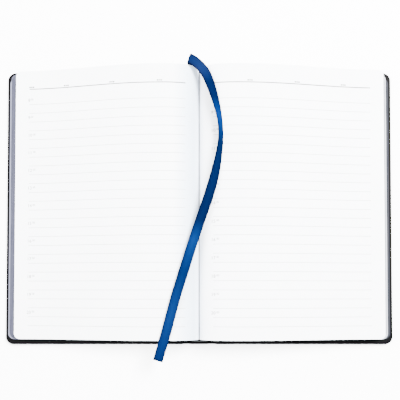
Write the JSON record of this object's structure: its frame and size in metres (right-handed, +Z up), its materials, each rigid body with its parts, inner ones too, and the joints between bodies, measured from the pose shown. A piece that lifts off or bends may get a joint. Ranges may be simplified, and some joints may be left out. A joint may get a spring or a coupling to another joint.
{
  "type": "pilot logbook",
  "caption": "Case-bound book lying open, with fanned ruled pages, thin black covers hinged at the spine, a leaf that turns and a ribbon marker.",
  "frame": {"origin": "centre of the underside of the open case, ribbon left out", "axes": "+X to the right-hand (back) cover, +Y to the head of the pages, +Z up from the table"},
  "size_m": [0.304, 0.2324, 0.0272],
  "materials": {
    "page_paper": "matte",
    "greyboard": "matte",
    "black_leatherette": "satin",
    "endpaper": "matte",
    "kraft_liner": "matte",
    "mull_cloth": "matte",
    "endband": "satin",
    "thread": "matte",
    "ribbon": "satin"
  },
  "bodies": {
    "back_half": {"back_board": "greyboard", "back_cover_leather": "black_leatherette", "back_pastedown": "endpaper", "back_flyleaf": "endpaper", "right_gathering_1": "page_paper", "right_gathering_2": "page_paper", "right_gathering_3": "page_paper", "right_gathering_4": "page_paper", "right_gathering_5": "page_paper", "right_gathering_6": "page_paper", "right_open_gathering": "page_paper"},
    "spine": {"spine_leather": "black_leatherette", "spine_board": "greyboard", "spine_liner": "kraft_liner", "mull": "mull_cloth", "headband": "endband", "tailband": "endband", "sewing_thread": "thread"},
    "front_half": {"front_board": "greyboard", "front_cover_leather": "black_leatherette", "front_pastedown": "endpaper", "front_flyleaf": "endpaper", "left_gathering_1": "page_paper", "left_gathering_2": "page_paper", "left_gathering_3": "page_paper", "left_gathering_4": "page_paper", "left_open_gathering": "page_paper"},
    "leaf": {"turning_leaf": "page_paper"},
    "ribbon": {"ribbon_marker": "ribbon"}
  },
  "joints": [
    {"name": "back_joint", "type": "hinge", "parent": "back_half", "child": "spine", "pos_m": [0.0082, 0, 0.0013], "axis": [0, 1, 0], "range_deg": [0, 40], "deforming": ["right_gathering_1", "right_gathering_2", "right_gathering_3", "right_gathering_4", "right_gathering_5", "right_gathering_6", "right_open_gathering"]},
    {"name": "front_joint", "type": "hinge", "parent": "spine", "child": "front_half", "pos_m": [-0.0082, 0, 0.0013], "axis": [0, 1, 0], "range_deg": [0, 40], "deforming": ["left_gathering_1", "left_gathering_2", "left_gathering_3", "left_gathering_4", "left_open_gathering"]},
    {"name": "leaf_turn", "type": "hinge", "parent": "back_half", "child": "leaf", "pos_m": [0, 0, 0.0228], "axis": [0, 1, 0], "range_deg": [-178, 0], "deforming": ["turning_leaf"]},
    {"name": "ribbon_swing", "type": "hinge", "parent": "spine", "child": "ribbon", "pos_m": [-0.0035, 0.1115, 0.018], "axis": [0, 0, 1], "range_deg": [-120, 100]}
  ]
}
